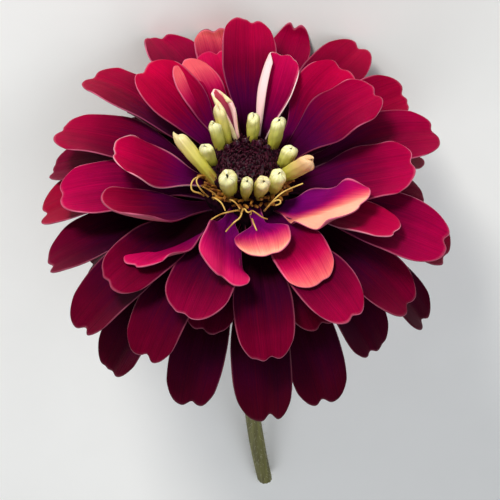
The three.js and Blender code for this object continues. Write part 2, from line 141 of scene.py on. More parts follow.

# What a petal has unless its entry says otherwise. rise adds to its row's lift, twist turns it
# along its length, sweep swings its tip aside, aside moves all of it sideways and claw_end is
# where it starts to widen. warm is how far painted warm light turns its tip coral, on one
# side by warm_side and starting later by warm_late. pale is how light its reverse is
# and darker adds painted shade to its row's depth, or painted light where it is below 0.
# magenta, drawn where none is given, runs from crimson at 0 to a violet cast over 1.
PLAIN_PETAL = dict(
    rise=0, roll=6, claw_end=0, twist=0, sweep=0, ruffle=0.3, fold=0, warm=0, warm_side=0,
    warm_late=0, pale=0.15, darker=0, aside=0
)

FULL_TURN = 6.28  # what is drawn up to for an angle in radians
PETAL_SEED = 20213
VARIATION_SEED = 4711
PETAL_THICKNESS = 0.42
PETAL_GRID = (14, 28)  # faces across and along a petal, before it is smoothed
CLAW = 0.24  # how wide a petal's narrow root is, as a share of its width
WIDEST = 0.66  # how far along it is widest, with NARROWS_FROM and TURNS_FROM on the same scale
NARROWS_FROM = 0.74
TURNS_FROM = 0.6
RELIEF_SPAN = (0.05, 0.5)  # the relief rises from nothing along this part of a petal
FOLD_SPAN = (0.46, 0.68)  # where the folded petal's edge turns over, as a share of its half
NOTCH_SPREAD = 0.16
SECOND_NOTCH_SPREAD = 0.12
MIDRIB_STEPS = 240

# ---- The heart ----
TUBES = [
    ray(84, 6.4, 2.8, lift=74, radius=7.2),
    ray(46, 7.5, 2.9, lift=74, radius=7.2),
    ray(4, 5.4, 3.0, lift=74, radius=7.2),
    ray(343, 10, 3.1, lift=52, radius=7.6, blush=1.0),
    ray(313, 6, 3.1, lift=74, radius=7.6),
    ray(289, 7, 2.9, lift=74, radius=7.5, blush=0.3),
    ray(268, 7, 2.5, lift=76, radius=7.4),
    ray(243, 7.4, 3.6, lift=74, radius=7.6),
    ray(213, 12.2, 2.9, lift=65, radius=7.9, sway=-1.14, blush=0.35),
    ray(178, 6, 2.5, lift=72, radius=7.2),
    ray(143, 7, 2.5, lift=74, radius=7.2),
    ray(126, 9.5, 2.6, lift=68, radius=7.2, blush=0.3),
]
HALF_OPEN_RAY = ray(
    138, 13.5, 5.8, lift=60, radius=5.7, aside=-3.3, height=-1.6, bend=10, cup_root=165, cup_tip=92,
    roll=12, rounding=0.3, narrowing=0.4, notch_at=0.1, notch=0.03, second_notch=(0.5, 0.0),
    tip_turn=-0.02, wave=(1.2, 0.3, 2), ruffle=0.12, groove=0.05, dents=(0.05, 1, 0), tone=(0.5, 0, 0, 1)
)
TUBE_SEED = 991
TUBE_SINK = 1.6  # how far below the disc's base the tubes start
TUBE_GRID = (28, 24)
TUBE_WRAP = 1.12  # how far round a tube's margins come: over 1 they overlap
TUBE_SKIN = 0.3
RAY_SKIN = 0.75
# Where each style runs in the photograph, in pixels, with its height over the disc's base.
STYLES = [
    [(229, 228.5, 1), (225.5, 226.4, 2.2), (223.6, 225.4, 3)],
    [(224.6, 228.8, 1.5), (222, 226.2, 3.2), (220.2, 222.8, 4.2), (221.2, 220.8, 4.4), (222.8, 220.2, 4)],
    [(222.4, 228.4, 2), (218.2, 227.6, 2.6), (217.8, 223.8, 3.6), (219.8, 221, 4.2), (222.4, 220.2, 4.6)],
    [(227.4, 230, 1.4), (231, 231.6, 2.6), (233.2, 234, 3), (234.2, 236.8, 2.4)],
    [(236, 231.2, 1.8), (239.4, 232.8, 3), (241.2, 236, 2.8)],
    [(241, 236.4, 1.6), (236, 237.4, 2.4), (231, 238.6, 2.8), (227.4, 241.2, 3)],
    [(242.6, 235.4, 1.4), (241.6, 240.2, 2.6), (238, 242.4, 3.2), (234.4, 246.8, 3)],
    [(241.4, 238.4, 1.8), (243.4, 235.2, 3.4), (244.6, 238, 3.6), (247.2, 236.8, 3.2), (246.2, 238.8, 2.6)],
    [(246.6, 236.4, 1.8), (249.8, 238.4, 2.8), (252, 240.2, 2.8), (254.4, 240.8, 2.4)],
    [(247, 240.4, 2), (247.8, 243.2, 2.8), (249.2, 246.2, 2.6)],
    [(253.6, 236, 1), (257, 232, 2.6), (261, 228.2, 3.6), (266, 225.8, 4.2), (271.2, 223.8, 4.4)],
    [(255, 234.4, 1.4), (258, 231.8, 3), (260.6, 231.6, 3.4), (260.6, 233.8, 3), (258.2, 234.2, 2.6)],
    [(262.6, 212.4, 1), (264.6, 211, 2.4), (266.4, 211.4, 2.8), (266.8, 213.4, 2.2)],
]
STYLE_THICKNESS = 0.37
THREAD_TAPER = 0.35
STYLE_FOOT = (0.93, 1.6)  # how far in, as a share, and how far down a style's hidden foot is
STUBS = 44
STUB_SEED = 8080
FLORET_BASE = [(0.01, -2.6), (6.9, -2.6), (8.0, -1.4), (8.0, -0.4), (6.9, 0.1), (0.01, 0.1)]
DISC_RADIUS = 6.1
DISC_RISE = 2.0
DISC_SCALES = 420
SCALE_SEED = 77
SCALE_GRID = (4, 5)
SCALE_SKIN = 0.16
GOLDEN_ANGLE = degrees(pi * (3 - sqrt(5)))
DOME_STEPS = 6
CHAFF_SPREAD = 1.3  # the scales run on over the ring that carries the young florets
BUD_STRETCH = (0.9, 0.9, 1.15)
# The azimuth, distance from the axis and radius of the buds at the disc's far edge.
DISC_BUDS = [(118, 5.0, 1.0), (97, 5.3, 0.9), (66, 5.2, 1.0), (45, 5.4, 0.8), (140, 5.5, 0.8)]

# ---- The photograph's view ----
VIEW_ELEVATION = 50.0  # the camera above the plane of the flower's face
VIEW_LEAN = -2.0
VIEW_DISTANCE = 600.0
PHOTO_PX_PER_MM = 2.365
PHOTO_HEAD_PX = (245.0, 215.0)  # where the middle of the disc's base is in the photograph
PHOTO_AIM_PX = (246.0, 255.5)  # the middle of the flower there, head and stem together
FRAME_PX = 500.0
CLOSE_UP = 2.1  # the photograph shows the flower small, so the frame closes in on it


class Draws:
    """Seeded draws, in the same order as the solids take theirs."""

    def __init__(self, seed):
        self.seed = seed

    def __call__(self, low, high):
        self.seed = self.seed * 16807 % 2147483647
        return low + (high - low) * self.seed / 2147483647


# ---- Placing points ----
def flower_to_world():
    upright = Matrix.Rotation(TILT - pi / 2, 4, "X")
    turned = Matrix.Rotation(pi, 4, "Z")
    return Matrix.Translation((*CENTRE_SHIFT, HEAD_HEIGHT)) @ turned @ upright


LAY_DOWN = np.array(flower_to_world())


def lay_down(points):
    return points @ LAY_DOWN[:3, :3].T + LAY_DOWN[:3, 3]


def settle(points, slide, thickness):
    """Bends what comes down to the surface over in a short curve, so that it lies along it."""
    clear = points[:, 2] - thickness / 2
    lain = np.maximum(clear + SOFT_HEIGHT, 0.0) ** 2 / (4 * SOFT_HEIGHT)
    given = np.where(clear < SOFT_HEIGHT, lain - clear, 0.0)
    points[:, 2] += given
    points[:, 1] += given * slide
    return points


def side_by_side(*coordinates):
    return np.stack(coordinates, axis=-1).reshape(-1, 3)


def about_axis(points, azimuth):
    turn = radians(azimuth)
    c, s = cos(turn), sin(turn)
    return points @ np.array([[c, -s, 0], [s, c, 0], [0, 0, 1]]).T


# ---- Modelling steps ----
def select(*objects):
    """Selects these objects and no others, with the first one active."""
    for obj in bpy.context.selected_objects:
        obj.select_set(False)
    for obj in objects:
        obj.select_set(True)
    if objects:
        bpy.context.view_layer.objects.active = objects[0]


def add_to_scene(obj):
    bpy.context.scene.collection.objects.link(obj)
    return obj


def blank_grid(faces):
    """A flat square of faces, 2 by 2, which a petal, scale or floret is shaped from."""
    select()
    bpy.ops.mesh.primitive_grid_add(x_subdivisions=faces[0], y_subdivisions=faces[1], size=2)
    return bpy.context.object


def copied(obj):
    twin = obj.copy()
    twin.data = obj.data.copy()
    return add_to_scene(twin)


def grid_places(obj, faces):
    """Where a blank's vertices are: across from 1 to -1 and along from 0 to 1, as rows."""
    places = points_of(obj).reshape(faces[1] + 1, faces[0] + 1, 3)
    return -places[..., 0], (places[..., 1] + 1) / 2


def set_points(obj, points):
    """Gives a mesh its vertices from points in millimetres."""
    obj.data.vertices.foreach_set("co", (points.reshape(-1, 3) * MM).ravel())
    obj.data.update()


def set_tone(obj, tone):
    """Marks each vertex with its piece's four tones: for a petal magenta, depth, painted warm light and
    pale.
    """
    attribute = obj.data.attributes.new("tone", "FLOAT_COLOR", "POINT")
    attribute.data.foreach_set("color", np.tile(tone, len(obj.data.vertices)))


def set_warm_light_flush(obj, values):
    """Marks each vertex with how far a petal's painted warm light is brought forward there."""
    attribute = obj.data.attributes.new("warm_light_flush", "FLOAT", "POINT")
    attribute.data.foreach_set("value", values)


def shaped_copies(faces, points_of_shape, shapes):
    """Copies of one blank, each with the points that a function gives it and its shape's tone."""
    blank = blank_grid(faces)
    pieces = []
    for shape in shapes:
        pieces.append(copied(blank))
        set_points(pieces[-1], lay_down(points_of_shape(shape, *grid_places(blank, faces))))
        set_tone(pieces[-1], shape["tone"])
    bpy.data.objects.remove(blank)
    return pieces


def joined(parts):
    select(*parts)
    bpy.ops.object.join()
    return bpy.context.object


def apply_modifier(obj, kind, **settings):
    select(obj)
    modifier = obj.modifiers.new(kind.title(), kind)
    for key, value in settings.items():
        setattr(modifier, key, value)
    bpy.ops.object.modifier_apply(modifier=modifier.name)


def set_materials(obj, materials):
    for material in materials:
        obj.data.materials.append(material)


def finish_piece(obj, name, node, slot, *materials):
    set_materials(obj, materials)
    obj.name = name
    obj.data.name = name
    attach(obj, "root")
    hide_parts(*node)


def finish_blades(blades, name, node, slot, thickness, *materials, levels=1):
    """Joins blades and gives them thickness, with a second and third material on back and rim."""
    whole = joined(blades)
    set_materials(whole, materials)
    last = len(materials) - 1
    offsets = dict(offset=0.0, material_offset=min(1, last), material_offset_rim=min(2, last))
    apply_modifier(whole, "SOLIDIFY", thickness=thickness * MM, **offsets)
    if levels:
        apply_modifier(whole, "SUBSURF", levels=levels, render_levels=levels)
    bpy.ops.object.shade_smooth()
    finish_piece(whole, name, node, slot)


def points_of(obj):
    flat = np.empty(len(obj.data.vertices) * 3)
    obj.data.vertices.foreach_get("co", flat)
    return flat.reshape(-1, 3)


def spun_profile(profile, sides):
    """Extrudes a ring of points up a profile of (radius, height) into a closed skin."""
    select()
    bpy.ops.mesh.primitive_circle_add(vertices=sides, radius=profile[0][0], location=(0, 0, profile[0][1]))
    bpy.ops.object.transform_apply(location=True)
    bpy.ops.object.mode_set(mode="EDIT")
    bpy.ops.mesh.select_all(action="SELECT")
    for (radius, height), (last_radius, last_height) in zip(profile[1:], profile[:-1]):
        bpy.ops.mesh.extrude_region_move(TRANSFORM_OT_translate={"value": (0, 0, height - last_height)})
        growth = radius / last_radius
        bpy.ops.transform.resize(value=(growth, growth, 1), center_override=(0, 0, height))
    bpy.ops.mesh.select_all(action="SELECT")
    bpy.ops.mesh.fill_holes(sides=0)
    bpy.ops.mesh.normals_make_consistent(inside=False)
    bpy.ops.object.mode_set(mode="OBJECT")
    return bpy.context.object


def make_turned(name, profile, sides, node, slot, material):
    """A piece turned about the flower's axis and laid down with it."""
    skin = spun_profile(profile, sides)
    set_points(skin, lay_down(points_of(skin)))
    bpy.ops.object.shade_smooth_by_angle(angle=radians(50))
    finish_piece(skin, name, node, slot, material)


# ---- Petals ----
def smoothstep(values, low, high):
    t = np.clip((values - low) / (high - low), 0.0, 1.0)
    return t * t * (3 - 2 * t)


def bell(values, middle, spread):
    return np.exp(-(((values - middle) / spread) ** 2))


def describe_petal(row, entry, draw):
    petal = dict(ROWS[row], row=row, **PLAIN_PETAL)
    petal.update(entry)
    petal["lift"] += petal["rise"]
    petal["depth"] += petal["darker"]
    petal["notch_at"] = draw(-0.25, 0.25)
    petal["notch"] = draw(0.02, 0.05)
    return petal


def back_petals(row, back, draw):
    petals = []
    for i in range(back["count"]):
        azimuth = back["start"] + (back["stop"] - back["start"]) * i / (back["count"] - 1)
        azimuth += draw(-3, 3)
        length = back["length"] + draw(-1.5, 1.5)
        entry = ray(azimuth, length, back["width"] + draw(-0.5, 0.5), rise=draw(-2, 4))
        petals.append(describe_petal(row, entry, draw))
    return petals


def all_petals():
    draw = Draws(PETAL_SEED)
    shown = [("inner", INNER_PETALS), ("second", SECOND_PETALS)]
    shown += [("third", THIRD_PETALS), ("outer", OUTER_PETALS)]
    petals = [describe_petal(row, entry, draw) for row, entries in shown for entry in entries]
    petals += back_petals("third", BACK_OF_THIRD, draw)
    petals += back_petals("outer", BACK_OF_OUTER, draw)
    vary = Draws(VARIATION_SEED)
    for petal in petals:
        petal.update(
            rounding=vary(0.1, 0.15),
            narrowing=vary(0.08, 0.2),
            second_notch=(vary(-0.6, 0.6), vary(0, 0.025)),
            wave=(vary(1.3, 2.4), vary(0, FULL_TURN), vary(0, FULL_TURN)),
            groove=vary(0.2, 0.4),
            tip_turn=vary(0, 0.035),
            magenta=petal.get("magenta", vary(0, 1)),
            twist=petal["twist"] + vary(-8, 8),
            sweep=petal["sweep"] + vary(-0.02, 0.02),
            dents=(vary(0.15, 0.35), vary(0.6, 1.2), vary(0, FULL_TURN)),
        )
    return petals


def width_share(petal, along):
    opening = CLAW + (1 - CLAW) * smoothstep(along, petal["claw_end"], WIDEST)
    closing = 1 - petal["narrowing"] * np.clip((along - NARROWS_FROM) / (1 - NARROWS_FROM), 0, 1) ** 2
    return opening * closing


def cross_section(angles, across):
    """Walks out from the midrib both ways along a curve whose slope is given at each vertex."""
    step = np.diff(across, axis=1)
    mean = (angles[:, 1:] + angles[:, :-1]) / 2
    rib = across.shape[1] // 2
    walked = []
    for moved in (np.cos(mean) * step, np.sin(mean) * step):
        reached = np.concatenate([np.zeros((len(across), 1)), np.cumsum(moved, axis=1)], axis=1)
        walked.append(reached - reached[:, rib : rib + 1])
    return walked


def petal_relief(petal, across, along):
    """The shallow folds that run down to the notches, soft dents, and the waves of the margins."""
    folds = bell(across, petal["notch_at"], 0.15)
    folds += 0.6 * bell(across, petal["second_notch"][0], 0.13)
    count, left_phase, right_phase = petal["wave"]
    phase = np.where(across > 0, left_phase, right_phase)
    margin = np.abs(across) ** 2.4 * np.sin(2 * pi * count * along + phase)
    depth, pace, start = petal["dents"]
    dents = depth * np.sin(2 * pi * pace * (along + 0.3 * across) + start)
    relief = petal["ruffle"] * margin - petal["groove"] * folds + dents
    return smoothstep(along, *RELIEF_SPAN) * relief


def midrib(petal, share):
    """How far out and up the midrib has come, and its angle, at each share of its length."""
    steps = np.linspace(0, 1, MIDRIB_STEPS + 1)
    angles = np.radians(petal["lift"] - petal["bend"] * steps)
    mean = (angles[1:] + angles[:-1]) / 2
    stride = petal["length"] / MIDRIB_STEPS
    out = np.concatenate([[0], np.cumsum(np.cos(mean))]) * stride
    up = np.concatenate([[0], np.cumsum(np.sin(mean))]) * stride
    return [np.interp(share, steps, values) for values in (out, up, angles)]


def petal_points(petal, across, along):
    second_at, second_depth = petal["second_notch"]
    notches = petal["notch"] * bell(across, petal["notch_at"], NOTCH_SPREAD)
    notches += second_depth * bell(across, second_at, SECOND_NOTCH_SPREAD)
    cut = petal["rounding"] * np.abs(across) ** 3 + notches
    share = along * (1 - along**3 * cut)
    out, up, angle = midrib(petal, share)
    cup = np.radians(petal["cup_root"] + (petal["cup_tip"] - petal["cup_root"]) * share)
    fold = radians(petal["fold"]) * smoothstep(across, *FOLD_SPAN)
    lateral, raised = cross_section(cup * across + fold, across)
    half = petal["width"] / 2 * width_share(petal, along)
    over = np.clip((share - TURNS_FROM) / (1 - TURNS_FROM), 0, 1)
    turned = petal["tip_turn"] * petal["length"] * over**2
    lateral = lateral * half
    raised = raised * half + petal_relief(petal, across, along) - turned
    roll = np.radians(petal["roll"] + petal["twist"] * share)
    swing = petal["aside"] + petal["sweep"] * petal["length"] * share**2
    side = lateral * np.cos(roll) - raised * np.sin(roll) + swing
    normal = lateral * np.sin(roll) + raised * np.cos(roll)
    radial = petal["radius"] + out - normal * np.sin(angle)
    height = petal["height"] + up + normal * np.cos(angle)
    return about_axis(side_by_side(radial, side, height), petal["azimuth"])


def make_petals(*materials):
    blank = blank_grid(PETAL_GRID)
    rows = {row: [] for row in ROWS}
    for petal in all_petals():
        blade = copied(blank)
        across, along = grid_places(blade, PETAL_GRID)
        points = lay_down(petal_points(petal, across, along))
        set_points(blade, settle(points, petal["slide"], PETAL_THICKNESS))
        set_tone(blade, (petal["magenta"], petal["depth"], petal["warm"], petal["pale"]))
        set_warm_light_flush(blade, petal["warm_side"] * across.ravel() - petal["warm_late"])
        rows[petal["row"]].append(blade)
    bpy.data.objects.remove(blank)
    for row, blades in rows.items():
        finish_blades(blades, f"petals_{row}", ["petals"], "petal", PETAL_THICKNESS, *materials)


# ---- The heart: young florets, styles and the disc ----
def tube_points(tube, across, along):
    """A ray floret still rolled up: one margin is tucked in under the other, the tip is cleft."""
    turn = across * pi * TUBE_WRAP + tube["turn"]
    lobes = 0.05 * np.cos(turn * tube["lobes"] + tube["turn"]) + 0.03 * np.cos(turn * 3 + 1)
    share = along * (1 - along**6 * (0.07 + lobes))
    lumps = 0.05 * np.sin(share * 10 + 2 * turn + tube["turn"])
    body = 0.7 + 0.3 * smoothstep(share, 0.0, 0.6) + lumps
    closing = np.sqrt(1 - 0.988 * np.clip((along - 0.8) / 0.2, 0, 1) ** 2)
    tuck = 1 - 0.13 * (across + 1) / 2
    ribs = 1 + 0.045 * np.cos(turn * 7) + 0.022 * np.cos(share * 24 - 3 * turn)
    radius = tube["width"] / 2 * body * closing * tuck * ribs
    reach = tube["length"] + TUBE_SINK
    aside = radius * np.cos(turn) * 1.08 + tube["bow"] * share**2
    across_it = radius * np.sin(turn) * 0.92 + tube["side"] * share**2
    points = side_by_side(aside, across_it, reach * share)
    lift = radians(tube["lift"])
    direction = Vector((cos(lift), tube.get("sway", 0.0), sin(lift))).normalized()
    aim = np.array(direction.to_track_quat("Z", "X").to_matrix())
    root = (tube["radius"] - TUBE_SINK * cos(lift), 0, -TUBE_SINK)
    return about_axis(points @ aim.T + root, tube["azimuth"])


def make_young_florets(*materials):
    draw = Draws(TUBE_SEED)
    shapes = []
    for tube in TUBES:
        shape = dict(tube, turn=draw(0, FULL_TURN), lobes=2 if draw(0, 1) < 0.6 else 1)
        shape.update(bow=draw(-0.5, 0.5), side=draw(-0.4, 0.4))
        shape.update(tone=(draw(0, 1), 0, tube.get("blush", 0), 1))
        shapes.append(shape)
    tubes = shaped_copies(TUBE_GRID, tube_points, shapes)
    finish_blades(tubes, "young_florets", ["inner_florets"], "young_floret", TUBE_SKIN, *materials)


def make_half_open_ray(*materials):
    """The one young ray that has begun to open: a narrow boat with pale margins."""
    shape = dict(ROWS["inner"], **PLAIN_PETAL)
    shape.update(HALF_OPEN_RAY)
    blades = shaped_copies(PETAL_GRID, petal_points, [shape])
    finish_blades(blades, "half_open_ray", ["inner_florets"], "young_floret", RAY_SKIN, *materials)


def thread_along(path, thickness):
    """A thread along points in the flower's frame, thinner towards its end."""
    select()
    bpy.ops.curve.primitive_nurbs_path_add(location=(0, 0, 0))
    curve = bpy.context.object.data
    curve.splines.remove(curve.splines[0])
    spline = curve.splines.new("NURBS")
    spline.points.add(len(path) - 1)
    placed = lay_down(np.array(path)) * MM
    for index, (point, place) in enumerate(zip(spline.points, placed)):
        point.co = (*place, 1)
        point.radius = 1.0 - THREAD_TAPER * index / len(path)
    spline.use_endpoint_u = True
    spline.order_u = 3
    spline.resolution_u = 6
    curve.bevel_depth = thickness / 2 * MM
    curve.bevel_resolution = 2
    curve.use_fill_caps = True
    bpy.ops.object.convert(target="MESH")
    bpy.ops.object.shade_smooth()
    return bpy.context.object


def make_styles(material):
    threads = []
    for path in STYLES:
        places = [seen_at(px, py, height) for px, py, height in path]
        root = places[0] * STYLE_FOOT[0]
        root.z = places[0].z - STYLE_FOOT[1]
        threads.append(thread_along([root] + places, STYLE_THICKNESS))
    finish_piece(joined(threads), "styles", ["inner_florets"], "young_floret", material)


def make_style_roots(material):
    """The short brown stubs crowded under the front of the ring, where the styles come out."""
    draw = Draws(STUB_SEED)
    stubs = []
    for index in range(STUBS):
        azimuth = 190 + 160 * (index + draw(0.1, 0.9)) / STUBS
        low = index % 2
        radius, reach = draw(7.3, 8.2) + 0.7 * low, draw(1.2, 2.8)
        foot = -1.8 - 0.9 * low
        path = [(radius, 0, foot), (radius + 0.4 * reach, draw(-0.4, 0.4), foot + 0.6 * reach)]
        path.append((radius + 0.9 * reach, draw(-0.9, 0.9), foot + 0.9 * reach))
        turned = about_axis(np.array(path), azimuth)
        stubs.append(thread_along(turned, draw(0.5, 0.9)))
    finish_piece(joined(stubs), "style_roots", ["inner_florets"], "young_floret", material)


def scale_points(scale, across, along):
    """A chaffy scale of the disc: a pointed spoon that leans in over its neighbours."""
    half = scale["width"] / 2 * np.sqrt(np.clip(1 - along**2.2, 0.02, 1)) * (0.75 + 0.25 * along)
    hood = scale["hood"] * along**1.6
    cupped = 0.4 * across**2 * half
    points = side_by_side(cupped - hood, half * across, scale["length"] * along)
    lean = radians(scale["lean"])
    c, s = cos(lean), sin(lean)
    tipped = points @ np.array([[c, 0, s], [0, 1, 0], [-s, 0, c]]).T
    return about_axis(tipped + (scale["radius"], 0, scale["height"]), scale["azimuth"])


def make_disc_scales(material):
    draw = Draws(SCALE_SEED)
    shapes = []
    for index in range(DISC_SCALES):
        share = CHAFF_SPREAD * sqrt((index + 0.5) / DISC_SCALES)
        shape = dict(
            width=draw(0.7, 0.95),
            radius=(DISC_RADIUS - 0.2) * share + draw(-0.16, 0.16),
            azimuth=index * GOLDEN_ANGLE + draw(-3.5, 3.5) / max(share, 0.3),
            height=DISC_RISE * sqrt(max(1 - 0.92 * share**2, 0.0)) - 0.75,
            length=draw(0.8, 1.75),
            lean=20 * share + draw(-18, 18),
            hood=draw(0.2, 0.6),
            tone=(draw(0, 1), share, 0, 1),
        )
        shapes.append(shape)
    scales = shaped_copies(SCALE_GRID, scale_points, shapes)
    finish_blades(scales, "disc_scales", ["disc"], "disc", SCALE_SKIN, material, levels=0)


def make_disc_dome(material):
    edge = DISC_RADIUS - 0.3
    dome = [(0.01, 0.12), (edge, 0.12)]
    for step in range(1, DOME_STEPS):
        angle = radians(90 / DOME_STEPS * step)
        dome.append((edge * cos(angle), 0.2 + (DISC_RISE - 0.7) * sin(angle)))
    dome.append((0.01, DISC_RISE - 0.5))
    make_turned("disc_dome", dome, 32, ["disc"], "disc", material)


def make_disc_buds(material):
    """The rounded buds of disc florets that stand at the disc's far edge."""
    buds = []
    for azimuth, radius, size in DISC_BUDS:
        select()
        bpy.ops.mesh.primitive_ico_sphere_add(subdivisions=3, radius=size)
        bud = bpy.context.object
        places = points_of(bud) * BUD_STRETCH
        pinch = 1 - 0.35 * np.clip(places[:, 2:] / size, 0, BUD_STRETCH[2]) ** 2
        places[:, :2] *= pinch
        places += (radius, 0, 1.1)
        set_points(bud, lay_down(about_axis(places, azimuth)))
        bpy.ops.object.shade_smooth()
        buds.append(bud)
    finish_piece(joined(buds), "disc_buds", ["disc"], "disc", material)


# ---- The involucre ----
# Each row runs from a foot up over a belly to its rim, all as radii, and from a low to a high end.
BRACT_ROWS = [
    dict(foot=3.9, low=-21.9, belly=6.4, rim=8.3, high=-17.9, width=6.6, turn=0.0),
    dict(foot=5.4, low=-20.2, belly=6.0, rim=8.9, high=-15.3, width=7.6, turn=0.5),
    dict(foot=6.6, low=-18.2, belly=7.0, rim=9.2, high=-13.2, width=8.0, turn=0.0),
]
BRACTS_A_ROW = 8
BRACT_GRID = (10, 12)
BRACT_SKIN = 0.4
BRACT_SEED = 505
CUP = [(0.01, -23.4), (2.85, -23.4), (3.3, -22.7), (4.6, -21.5), (6.6, -18.8), (7.7, -16)]
CUP += [(7.6, -14.2), (0.01, -13.8)]


def bract_points(bract, across, along):
    """A broad bract laid round the cup, ridged along its middle, with its tip bent out."""
    half = bract["width"] / 2 * np.sqrt(np.clip(1 - along**3.2, 0.03, 1)) * (0.82 + 0.18 * along)
    radius = bract["foot"] + (bract["rim"] - bract["foot"]) * along**0.8
    radius = radius + (bract["belly"] - bract["foot"]) * 0.35 * (4 * along * (1 - along))
    radius = radius + 0.35 * (1 - across**2) + 0.12 * np.cos(across * 9) * along
    radius = radius + bract["tip_out"] * along**3
    height = bract["low"] + (bract["high"] - bract["low"]) * along
    turn = half * across / radius
    points = side_by_side(radius * np.cos(turn), radius * np.sin(turn), height)
    return about_axis(points, bract["azimuth"])


def make_bracts(material):
    draw = Draws(BRACT_SEED)
    shapes = []
    for row in BRACT_ROWS:
        for index in range(BRACTS_A_ROW):
            azimuth = (index + row["turn"]) / BRACTS_A_ROW * 360 + draw(-3, 3)
            shape = dict(row, azimuth=azimuth, tip_out=draw(-0.1, 0.3), tone=(draw(0, 1), 0, 0, 1))
            shapes.append(shape)
    bracts = shaped_copies(BRACT_GRID, bract_points, shapes)
    finish_blades(bracts, "bracts", ["involucre"], "bract", BRACT_SKIN, material)


# ---- The stem ----
STEM_TOP = -22.1
STEM_SIDES = 48
STEM_STEPS = 60
STEM_RIBS = 12
STEM_SEED = 313
STEM_HAIRS = 900
HAIR_THICKNESS = 0.07
HAIR_CLEARANCE = 0.05  # no hair grows where it would reach nearer the surface than this


def stem_skin(share, angle, inward):
    """Points on the ribbed skin; inward shrinks a ring towards the stem's middle."""
    radius = STEM_END_RADIUS + (STEM_NECK_RADIUS - STEM_END_RADIUS) * np.exp(-share * 5.5)
    ribs = 1 + 0.045 * np.cos(angle * STEM_RIBS + 2.2 * share) + 0.02 * np.cos(angle * 5 + share * 9)
    radius = radius * ribs * (1 + 0.015 * np.sin(share * 23 + 1)) * inward
    aside = STEM_BEND * share**2.3 + radius * np.cos(angle)
    return side_by_side(aside, radius * np.sin(angle), STEM_TOP + (-STEM_REACH - STEM_TOP) * share)


def make_stem(*materials):
    """The ribbed stem; its second material is on the cut end."""
    profile = [(0.01, STEM_TOP), (0.9, STEM_TOP)]
    profile += [(1.0, STEM_TOP - (STEM_REACH + STEM_TOP) * i / STEM_STEPS) for i in range(STEM_STEPS + 1)]
    profile += [(0.85, -STEM_REACH), (0.8, -STEM_REACH + 0.15), (0.01, -STEM_REACH + 0.2)]
    stem = spun_profile(profile, STEM_SIDES)
    places = points_of(stem)
    share = (STEM_TOP - places[:, 2]) / (STEM_REACH + STEM_TOP)
    angle = np.arctan2(places[:, 1], places[:, 0])
    set_points(stem, lay_down(stem_skin(share, angle, np.hypot(places[:, 0], places[:, 1]))))
    bpy.ops.object.shade_smooth_by_angle(angle=radians(60))
    finish_piece(stem, "stem_skin", ["stem"], "stem", *materials)
    end = len(profile) - 4  # the profile's last rings are the cut end
    for face in stem.data.polygons:
        ring = min(face.vertices) // STEM_SIDES
        face.material_index = 1 if ring >= end else 0


def make_stem_hairs(material):
    select()
    foot = HAIR_THICKNESS / 2
    bpy.ops.mesh.primitive_cone_add(vertices=3, radius1=foot, depth=1, end_fill_type="NOTHING")
    blank = bpy.context.object
    shape = points_of(blank) + (0, 0, 0.5)
    draw = Draws(STEM_SEED)
    hairs = []
    for _ in range(STEM_HAIRS):
        share = np.array([draw(0.0, 1.0) ** 1.2])
        angle = np.array([draw(0, 2 * pi)])
        root = stem_skin(share, angle, 0.98)[0]
        outward = Vector((cos(angle[0]), sin(angle[0]), draw(-0.1, 0.7)))
        outward += Vector((draw(-0.3, 0.3), draw(-0.3, 0.3), 0))
        aim = np.array(outward.to_track_quat("Z", "Y").to_matrix())
        length = draw(0.5, 1.3)
        placed = lay_down((shape * (1, 1, length)) @ aim.T + root)
        if placed[:, 2].min() >= HAIR_CLEARANCE:
            hair = copied(blank)
            set_points(hair, placed)
            hairs.append(hair)
    bpy.data.objects.remove(blank)
    whole = joined(hairs)
    bpy.ops.object.shade_smooth()
    finish_piece(whole, "stem_hairs", ["stem"], "stem", material)


# ---- Shader helpers ----
# They add nodes to the tree that was opened last. What feeds a socket is a number, another socket
# or a colour as a picture shows it, from 0 to 255.
def linear(colour):
    """The linear colour that a shader takes, from one as a picture shows it."""
    shares = [value / 255 for value in colour]
    return (*(s / 12.92 if s <= 0.04045 else ((s + 0.055) / 1.055) ** 2.4 for s in shares), 1)


def open_tree(opened):
    global tree
    tree = opened


def new_material(name):
    material = bpy.data.materials.new(name)
    material.use_nodes = True
    open_tree(material.node_tree)
    return material


def feed(socket, value):
    if isinstance(value, bpy.types.NodeSocket):
        tree.links.new(value, socket)
    elif socket.type == "RGBA":
        socket.default_value = linear(value)
    else:
        socket.default_value = value


def feed_all(node, inputs):
    """Feeds a node's inputs by their names, with an underscore for each space."""
    for name, value in inputs.items():
        feed(node.inputs[name.replace("_", " ")], value)


def finished(material, **inputs):
    feed_all(tree.nodes["Principled BSDF"], inputs)
    return material


def add(kind, **inputs):
    node = tree.nodes.new(f"ShaderNode{kind}")
    feed_all(node, inputs)
    return node


def calculate(operation, *values):
    node = add("Math")
    node.operation = operation
    for socket, value in zip(node.inputs, values):
        feed(socket, value)
    return node.outputs[0]


def plus(first, second):
    return calculate("ADD", first, second)


def minus(first, second):
    return calculate("SUBTRACT", first, second)


def times(first, *factors):
    for factor in factors:
        first = calculate("MULTIPLY", first, factor)
    return first


def carried(value, span, target=(0, 1)):
    """A value carried over from one span to another."""
    spans = dict(From_Min=span[0], From_Max=span[1], To_Min=target[0], To_Max=target[1])
    return add("MapRange", Value=value, **spans).outputs[0]


def mixed(share, first, second):
    node = add("Mix")
    node.data_type = "RGBA"
    for index, value in ((0, share), (6, first), (7, second)):
        feed(node.inputs[index], value)
    return node.outputs[2]


def scaled(colour, factor):
    node = add("VectorMath")
    node.operation = "SCALE"
    feed(node.inputs[0], colour)
    feed(node.inputs["Scale"], factor)
    return node.outputs[0]


